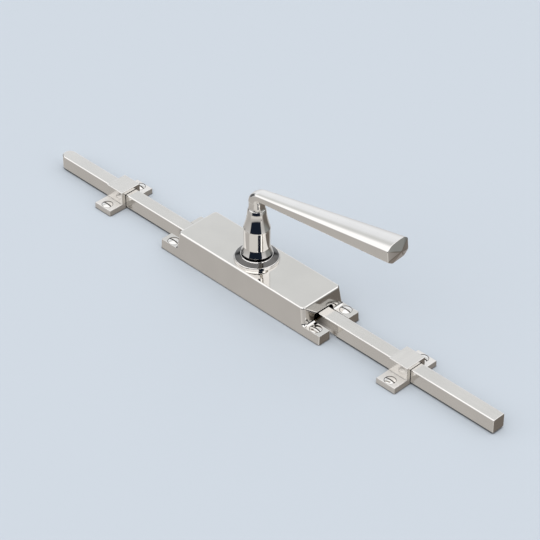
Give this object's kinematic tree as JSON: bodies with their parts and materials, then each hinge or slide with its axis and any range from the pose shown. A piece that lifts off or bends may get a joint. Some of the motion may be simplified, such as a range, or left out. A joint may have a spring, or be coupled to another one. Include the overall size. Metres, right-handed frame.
{
  "type": "window espagnolette gearbox",
  "caption": "Surface-mounted espagnolette gearbox: a lever handle turns a pinion between racks that draw square rods in or push them out through screwed guides.",
  "frame": {"origin": "middle of the case's back on the window's face, between the four case screws", "axes": "+X along the rods towards the longer, right rod, +Y across the case towards the far side, +Z out from the window along the handle's axis"},
  "size_m": [0.429, 0.042, 0.1141],
  "materials": {
    "nickel_plate": "solid brass, polished and nickel plated",
    "nickel_rod": "drawn square brass rod, nickel plated",
    "nickel_screw": "brass wood screws, nickel plated",
    "plain_brass": "unplated brass sheet",
    "bronze_bush": "turned bearing bronze",
    "gear_steel": "machined and oiled steel",
    "black_steel": "blackened steel"
  },
  "bodies": {
    "housing": {"case": "nickel_plate", "back_plate": "plain_brass", "plate_screws": "plain_brass", "foot_bush": "bronze_bush", "roof_bush": "bronze_bush", "rose": "nickel_plate", "case_screws": "nickel_screw", "left_guide": "nickel_plate", "left_guide_screws": "nickel_screw", "right_guide": "nickel_plate", "right_guide_screws": "nickel_screw"},
    "handle": {"pinion": "gear_steel", "thrust_washer": "bronze_bush", "spindle": "gear_steel", "spindle_screw": "black_steel", "shank": "nickel_plate", "grub_screw": "black_steel", "lever_pin": "plain_brass", "lever": "nickel_plate"},
    "left_bar": {"left_rod": "nickel_rod", "left_rack": "gear_steel", "left_rivets": "gear_steel"},
    "right_bar": {"right_rod": "nickel_rod", "right_rack": "gear_steel", "right_rivets": "gear_steel"}
  },
  "joints": [
    {"name": "handle_turn", "type": "hinge", "parent": "housing", "child": "handle", "pos_m": [-0.0013, 0, 0.02147], "axis": [0, 0, 1], "range_deg": [-4, 86]},
    {"name": "right_bar_slide", "type": "slide", "parent": "housing", "child": "right_bar", "axis": [-1, 0, 0], "range_m": [-0.00064, 0.01352]},
    {"name": "left_bar_slide", "type": "slide", "parent": "housing", "child": "left_bar", "axis": [1, 0, 0], "range_m": [-0.00064, 0.01352]}
  ],
  "couplings": [
    {"joint": "right_bar_slide", "follows": "handle_turn", "m_per_rad": 0.009},
    {"joint": "left_bar_slide", "follows": "handle_turn", "m_per_rad": 0.009}
  ]
}
